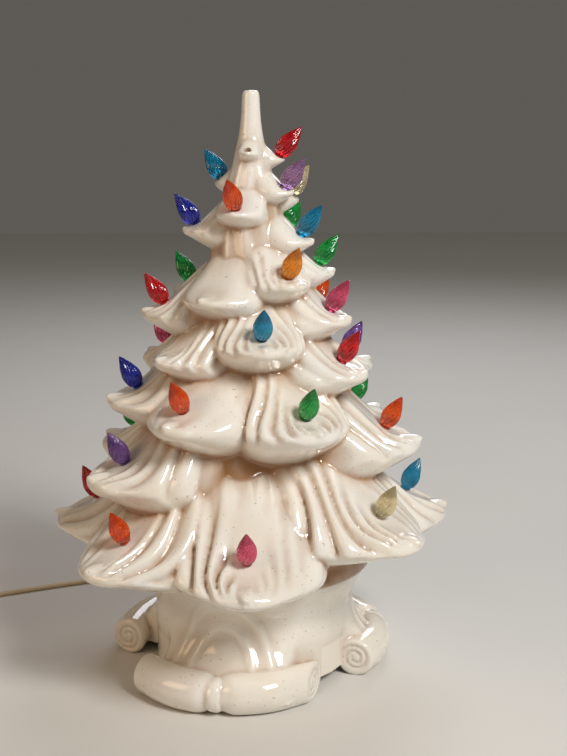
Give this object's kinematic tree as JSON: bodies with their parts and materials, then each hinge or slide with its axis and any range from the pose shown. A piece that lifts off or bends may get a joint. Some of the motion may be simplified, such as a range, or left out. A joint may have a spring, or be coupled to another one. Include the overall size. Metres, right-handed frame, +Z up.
{
  "type": "ceramic christmas tree",
  "caption": "Hollow glazed ceramic tree with twisted push-in lights, standing over a screw-in lamp on a scrolled ceramic base with a corded socket.",
  "frame": {"origin": "on the floor, under the middle of the base", "axes": "+Z up along the tree's stem, front towards -Y"},
  "size_m": [0.5029, 0.3083, 0.406],
  "materials": {
    "ivory_glaze": "gloss glaze",
    "dark_phenolic": "moulded",
    "brass": "stamped",
    "spring_steel": "plated",
    "clear_glass": "blown",
    "filament_wire": "drawn wire",
    "ivory_vinyl": "extruded",
    "tie_plastic": "moulded",
    "red_plastic": "translucent, moulded",
    "teal_plastic": "translucent, moulded",
    "blue_plastic": "translucent, moulded",
    "mauve_plastic": "translucent, moulded",
    "clear_plastic": "translucent, moulded",
    "orange_plastic": "translucent, moulded",
    "amber_plastic": "translucent, moulded",
    "green_plastic": "translucent, moulded",
    "pink_plastic": "translucent, moulded",
    "purple_plastic": "translucent, moulded"
  },
  "bodies": {
    "base": {"base_shell": "ivory_glaze", "lamp_socket": "dark_phenolic", "socket_screw_shell": "brass", "socket_contact": "brass", "socket_clip": "spring_steel", "cord_inside": "ivory_vinyl", "cord_run": "ivory_vinyl", "cord_coil": "ivory_vinyl", "coil_tie": "tie_plastic", "plug_body": "ivory_vinyl", "plug_blades": "brass"},
    "tree": {"tree_shell": "ivory_glaze"},
    "lamp": {"lamp_cap": "brass", "lamp_bulb": "clear_glass", "lamp_mount": "clear_glass", "lamp_filament": "filament_wire"},
    "red_light_01": {"light_01_red": "red_plastic"},
    "teal_light_02": {"light_02_teal": "teal_plastic"},
    "blue_light_03": {"light_03_blue": "blue_plastic"},
    "mauve_light_04": {"light_04_mauve": "mauve_plastic"},
    "clear_light_05": {"light_05_clear": "clear_plastic"},
    "red_light_06": {"light_06_red": "red_plastic"},
    "orange_light_07": {"light_07_orange": "orange_plastic"},
    "amber_light_08": {"light_08_amber": "amber_plastic"},
    "blue_light_09": {"light_09_blue": "blue_plastic"},
    "teal_light_10": {"light_10_teal": "teal_plastic"},
    "green_light_11": {"light_11_green": "green_plastic"},
    "green_light_12": {"light_12_green": "green_plastic"},
    "amber_light_13": {"light_13_amber": "amber_plastic"},
    "pink_light_14": {"light_14_pink": "pink_plastic"},
    "green_light_15": {"light_15_green": "green_plastic"},
    "teal_light_16": {"light_16_teal": "teal_plastic"},
    "red_light_17": {"light_17_red": "red_plastic"},
    "pink_light_18": {"light_18_pink": "pink_plastic"},
    "orange_light_19": {"light_19_orange": "orange_plastic"},
    "teal_light_20": {"light_20_teal": "teal_plastic"},
    "purple_light_21": {"light_21_purple": "purple_plastic"},
    "red_light_22": {"light_22_red": "red_plastic"},
    "pink_light_23": {"light_23_pink": "pink_plastic"},
    "purple_light_24": {"light_24_purple": "purple_plastic"},
    "blue_light_25": {"light_25_blue": "blue_plastic"},
    "orange_light_26": {"light_26_orange": "orange_plastic"},
    "green_light_27": {"light_27_green": "green_plastic"},
    "amber_light_28": {"light_28_amber": "amber_plastic"},
    "clear_light_29": {"light_29_clear": "clear_plastic"},
    "green_light_30": {"light_30_green": "green_plastic"},
    "orange_light_31": {"light_31_orange": "orange_plastic"},
    "green_light_32": {"light_32_green": "green_plastic"},
    "purple_light_33": {"light_33_purple": "purple_plastic"},
    "red_light_34": {"light_34_red": "red_plastic"},
    "blue_light_35": {"light_35_blue": "blue_plastic"},
    "clear_light_36": {"light_36_clear": "clear_plastic"},
    "teal_light_37": {"light_37_teal": "teal_plastic"},
    "mauve_light_38": {"light_38_mauve": "mauve_plastic"},
    "red_light_39": {"light_39_red": "red_plastic"},
    "amber_light_40": {"light_40_amber": "amber_plastic"},
    "orange_light_41": {"light_41_orange": "orange_plastic"},
    "green_light_42": {"light_42_green": "green_plastic"},
    "pink_light_43": {"light_43_pink": "pink_plastic"}
  },
  "joints": [
    {"name": "tree_lift", "type": "slide", "parent": "base", "child": "tree", "axis": [0, 0, 1], "range_m": [0, 0.2]},
    {"name": "lamp_turn", "type": "hinge", "parent": "base", "child": "lamp", "pos_m": [0, 0, 0.07], "axis": [0, 0, 1], "range_deg": [0, 1080]},
    {"name": "light_01_pull", "type": "slide", "parent": "tree", "child": "red_light_01", "axis": [0.6358, 0, 0.7718], "range_m": [0, 0.012]},
    {"name": "light_02_pull", "type": "slide", "parent": "tree", "child": "teal_light_02", "axis": [-0.5108, 0.3577, 0.7817], "range_m": [0, 0.012]},
    {"name": "light_03_pull", "type": "slide", "parent": "tree", "child": "blue_light_03", "axis": [0.0555, 0.6346, 0.7708], "range_m": [0, 0.012]},
    {"name": "light_04_pull", "type": "slide", "parent": "tree", "child": "mauve_light_04", "axis": [0.5369, -0.31, 0.7847], "range_m": [0, 0.012]},
    {"name": "light_05_pull", "type": "slide", "parent": "tree", "child": "clear_light_05", "axis": [0.5702, 0.2304, 0.7885], "range_m": [0, 0.012]},
    {"name": "light_06_pull", "type": "slide", "parent": "tree", "child": "red_light_06", "axis": [0.107, 0.6068, 0.7876], "range_m": [0, 0.012]},
    {"name": "light_07_pull", "type": "slide", "parent": "tree", "child": "orange_light_07", "axis": [-0.2086, -0.5732, 0.7924], "range_m": [0, 0.012]},
    {"name": "light_08_pull", "type": "slide", "parent": "tree", "child": "amber_light_08", "axis": [-0.2065, 0.5674, 0.7972], "range_m": [0, 0.012]},
    {"name": "light_09_pull", "type": "slide", "parent": "tree", "child": "blue_light_09", "axis": [-0.5996, -0.0209, 0.8], "range_m": [0, 0.012]},
    {"name": "light_10_pull", "type": "slide", "parent": "tree", "child": "teal_light_10", "axis": [0.5516, -0.2229, 0.8038], "range_m": [0, 0.012]},
    {"name": "light_11_pull", "type": "slide", "parent": "tree", "child": "green_light_11", "axis": [0.3824, 0.4558, 0.8038], "range_m": [0, 0.012]},
    {"name": "light_12_pull", "type": "slide", "parent": "tree", "child": "green_light_12", "axis": [0.5768, 0.0201, 0.8166], "range_m": [0, 0.012]},
    {"name": "light_13_pull", "type": "slide", "parent": "tree", "child": "amber_light_13", "axis": [0.2873, -0.4976, 0.8185], "range_m": [0, 0.012]},
    {"name": "light_14_pull", "type": "slide", "parent": "tree", "child": "pink_light_14", "axis": [0.1952, 0.5363, 0.8211], "range_m": [0, 0.012]},
    {"name": "light_15_pull", "type": "slide", "parent": "tree", "child": "green_light_15", "axis": [-0.4622, 0.3236, 0.8256], "range_m": [0, 0.012]},
    {"name": "light_16_pull", "type": "slide", "parent": "tree", "child": "teal_light_16", "axis": [-0.145, 0.5413, 0.8283], "range_m": [0, 0.012]},
    {"name": "light_17_pull", "type": "slide", "parent": "tree", "child": "red_light_17", "axis": [-0.5548, -0.0194, 0.8318], "range_m": [0, 0.012]},
    {"name": "light_18_pull", "type": "slide", "parent": "tree", "child": "pink_light_18", "axis": [0.5059, -0.2253, 0.8326], "range_m": [0, 0.012]},
    {"name": "light_19_pull", "type": "slide", "parent": "tree", "child": "orange_light_19", "axis": [0.4212, 0.3535, 0.8352], "range_m": [0, 0.012]},
    {"name": "light_20_pull", "type": "slide", "parent": "tree", "child": "teal_light_20", "axis": [0.0568, -0.5403, 0.8395], "range_m": [0, 0.012]},
    {"name": "light_21_pull", "type": "slide", "parent": "tree", "child": "purple_light_21", "axis": [0.1105, 0.5198, 0.8471], "range_m": [0, 0.012]},
    {"name": "light_22_pull", "type": "slide", "parent": "tree", "child": "red_light_22", "axis": [0.4556, -0.263, 0.8504], "range_m": [0, 0.012]},
    {"name": "light_23_pull", "type": "slide", "parent": "tree", "child": "pink_light_23", "axis": [-0.445, 0.2781, 0.8513], "range_m": [0, 0.012]},
    {"name": "light_24_pull", "type": "slide", "parent": "tree", "child": "purple_light_24", "axis": [0.4828, 0.1951, 0.8537], "range_m": [0, 0.012]},
    {"name": "light_25_pull", "type": "slide", "parent": "tree", "child": "blue_light_25", "axis": [-0.4995, -0.0881, 0.8618], "range_m": [0, 0.012]},
    {"name": "light_26_pull", "type": "slide", "parent": "tree", "child": "orange_light_26", "axis": [-0.2814, -0.4171, 0.8642], "range_m": [0, 0.012]},
    {"name": "light_27_pull", "type": "slide", "parent": "tree", "child": "green_light_27", "axis": [0.2115, -0.4536, 0.8658], "range_m": [0, 0.012]},
    {"name": "light_28_pull", "type": "slide", "parent": "tree", "child": "amber_light_28", "axis": [-0.333, 0.3699, 0.8673], "range_m": [0, 0.012]},
    {"name": "light_29_pull", "type": "slide", "parent": "tree", "child": "clear_light_29", "axis": [0, 0.4909, 0.8712], "range_m": [0, 0.012]},
    {"name": "light_30_pull", "type": "slide", "parent": "tree", "child": "green_light_30", "axis": [0.4117, 0.2572, 0.8743], "range_m": [0, 0.012]},
    {"name": "light_31_pull", "type": "slide", "parent": "tree", "child": "orange_light_31", "axis": [0.474, -0.0836, 0.8766], "range_m": [0, 0.012]},
    {"name": "light_32_pull", "type": "slide", "parent": "tree", "child": "green_light_32", "axis": [-0.4227, 0.2061, 0.8825], "range_m": [0, 0.012]},
    {"name": "light_33_pull", "type": "slide", "parent": "tree", "child": "purple_light_33", "axis": [-0.4127, -0.2195, 0.884], "range_m": [0, 0.012]},
    {"name": "light_34_pull", "type": "slide", "parent": "tree", "child": "red_light_34", "axis": [-0.1794, 0.4226, 0.8884], "range_m": [0, 0.012]},
    {"name": "light_35_pull", "type": "slide", "parent": "tree", "child": "blue_light_35", "axis": [0.1481, 0.4301, 0.8905], "range_m": [0, 0.012]},
    {"name": "light_36_pull", "type": "slide", "parent": "tree", "child": "clear_light_36", "axis": [0.3415, -0.2766, 0.8983], "range_m": [0, 0.012]},
    {"name": "light_37_pull", "type": "slide", "parent": "tree", "child": "teal_light_37", "axis": [0.4244, 0.0748, 0.9024], "range_m": [0, 0.012]},
    {"name": "light_38_pull", "type": "slide", "parent": "tree", "child": "mauve_light_38", "axis": [0.28, 0.3221, 0.9044], "range_m": [0, 0.012]},
    {"name": "light_39_pull", "type": "slide", "parent": "tree", "child": "red_light_39", "axis": [-0.4245, 0.0597, 0.9034], "range_m": [0, 0.012]},
    {"name": "light_40_pull", "type": "slide", "parent": "tree", "child": "amber_light_40", "axis": [-0.2865, 0.3182, 0.9037], "range_m": [0, 0.012]},
    {"name": "light_41_pull", "type": "slide", "parent": "tree", "child": "orange_light_41", "axis": [-0.3171, -0.2855, 0.9044], "range_m": [0, 0.012]},
    {"name": "light_42_pull", "type": "slide", "parent": "tree", "child": "green_light_42", "axis": [-0.0223, 0.4261, 0.9044], "range_m": [0, 0.012]},
    {"name": "light_43_pull", "type": "slide", "parent": "tree", "child": "pink_light_43", "axis": [-0.0148, -0.425, 0.905], "range_m": [0, 0.012]}
  ]
}
